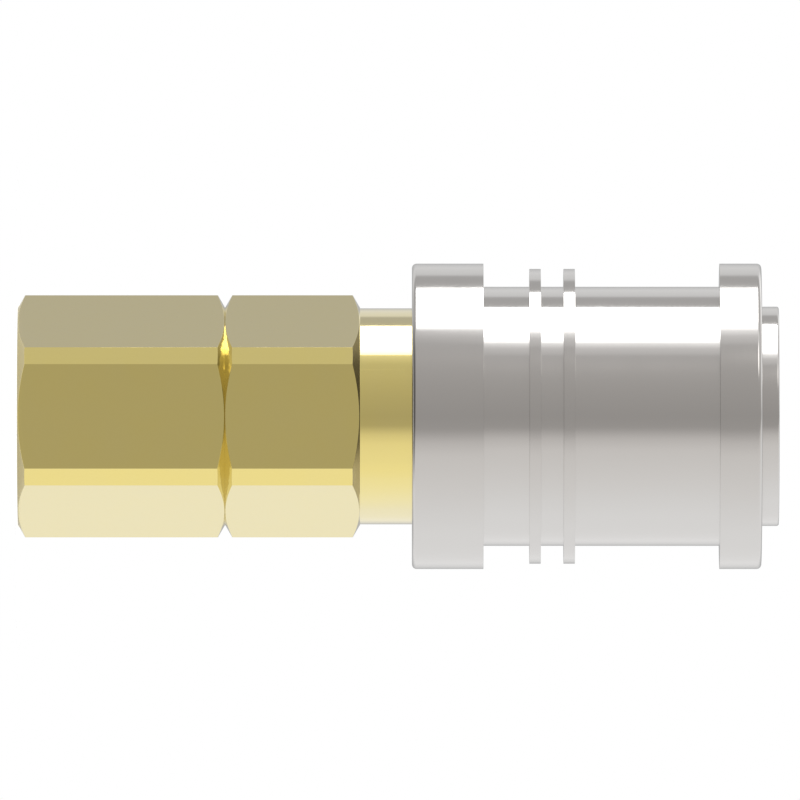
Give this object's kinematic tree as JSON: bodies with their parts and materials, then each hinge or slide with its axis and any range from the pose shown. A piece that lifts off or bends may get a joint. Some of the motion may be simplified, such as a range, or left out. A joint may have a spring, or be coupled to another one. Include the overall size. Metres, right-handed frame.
{
  "type": "hydraulic quick coupling socket",
  "caption": "Ball-lock quick coupling socket: threaded brass hexagon inlet, brass neck, sprung steel grip sleeve and shut-off valve.",
  "frame": {"origin": "centre of the inlet hexagon's end face, where the axis leaves it", "axes": "+Z along the coupling's axis, from the threaded inlet to the nose; the hexagons' flats face +Y and -Y, their corners +X and -X"},
  "size_m": [0.0376, 0.0376, 0.0936],
  "materials": {
    "turned_brass": "fine turned and milled, bright",
    "plated_steel": "turned, bright plated",
    "ball_steel": "polished, hardened",
    "spring_steel": "drawn wire",
    "seal_rubber": "moulded, lightly greased",
    "backup_ptfe": "turned, waxy"
  },
  "bodies": {
    "coupler": {"inlet_adapter": "turned_brass", "adapter_o_ring": "seal_rubber", "hex_housing": "turned_brass", "valve_guide": "turned_brass", "valve_spring": "spring_steel", "body_o_ring": "seal_rubber", "socket_body": "plated_steel", "probe_o_ring": "seal_rubber", "probe_backup_ring": "backup_ptfe", "sleeve_spring": "spring_steel"},
    "retaining_ring": {"retaining_ring": "spring_steel"},
    "sleeve": {"grip_sleeve": "plated_steel"},
    "valve": {"valve_poppet": "turned_brass", "valve_o_ring": "seal_rubber"},
    "lock_ball_1": {"lock_ball_1": "ball_steel"},
    "lock_ball_2": {"lock_ball_2": "ball_steel"},
    "lock_ball_3": {"lock_ball_3": "ball_steel"},
    "lock_ball_4": {"lock_ball_4": "ball_steel"},
    "lock_ball_5": {"lock_ball_5": "ball_steel"},
    "lock_ball_6": {"lock_ball_6": "ball_steel"},
    "lock_ball_7": {"lock_ball_7": "ball_steel"},
    "lock_ball_8": {"lock_ball_8": "ball_steel"}
  },
  "joints": [
    {"name": "sleeve_spin", "type": "hinge", "parent": "coupler", "child": "retaining_ring", "pos_m": [0, 0, 0.0903], "axis": [0, 0, 1], "continuous": true},
    {"name": "sleeve_slide", "type": "slide", "parent": "retaining_ring", "child": "sleeve", "axis": [0, 0, -1], "range_m": [0, 0.005], "stiffness_N_per_m": 1070, "springref_m": -0.005, "deforming": ["sleeve_spring"]},
    {"name": "valve_slide", "type": "slide", "parent": "coupler", "child": "valve", "axis": [0, 0, -1], "range_m": [0, 0.006], "stiffness_N_per_m": 1060, "springref_m": -0.002, "deforming": ["valve_spring"]},
    {"name": "lock_ball_1_travel", "type": "slide", "parent": "coupler", "child": "lock_ball_1", "axis": [1, 0, 0], "range_m": [0, 0.0009]},
    {"name": "lock_ball_2_travel", "type": "slide", "parent": "coupler", "child": "lock_ball_2", "axis": [0.7071, 0.7071, 0], "range_m": [0, 0.0009]},
    {"name": "lock_ball_3_travel", "type": "slide", "parent": "coupler", "child": "lock_ball_3", "axis": [0, 1, 0], "range_m": [0, 0.0009]},
    {"name": "lock_ball_4_travel", "type": "slide", "parent": "coupler", "child": "lock_ball_4", "axis": [-0.7071, 0.7071, 0], "range_m": [0, 0.0009]},
    {"name": "lock_ball_5_travel", "type": "slide", "parent": "coupler", "child": "lock_ball_5", "axis": [-1, 0, 0], "range_m": [0, 0.0009]},
    {"name": "lock_ball_6_travel", "type": "slide", "parent": "coupler", "child": "lock_ball_6", "axis": [-0.7071, -0.7071, 0], "range_m": [0, 0.0009]},
    {"name": "lock_ball_7_travel", "type": "slide", "parent": "coupler", "child": "lock_ball_7", "axis": [0, -1, 0], "range_m": [0, 0.0009]},
    {"name": "lock_ball_8_travel", "type": "slide", "parent": "coupler", "child": "lock_ball_8", "axis": [0.7071, -0.7071, 0], "range_m": [0, 0.0009]}
  ],
  "couplings": [
    {"joint": "lock_ball_1_travel", "follows": "sleeve_slide", "ratio": 0.18},
    {"joint": "lock_ball_2_travel", "follows": "sleeve_slide", "ratio": 0.18},
    {"joint": "lock_ball_3_travel", "follows": "sleeve_slide", "ratio": 0.18},
    {"joint": "lock_ball_4_travel", "follows": "sleeve_slide", "ratio": 0.18},
    {"joint": "lock_ball_5_travel", "follows": "sleeve_slide", "ratio": 0.18},
    {"joint": "lock_ball_6_travel", "follows": "sleeve_slide", "ratio": 0.18},
    {"joint": "lock_ball_7_travel", "follows": "sleeve_slide", "ratio": 0.18},
    {"joint": "lock_ball_8_travel", "follows": "sleeve_slide", "ratio": 0.18}
  ]
}
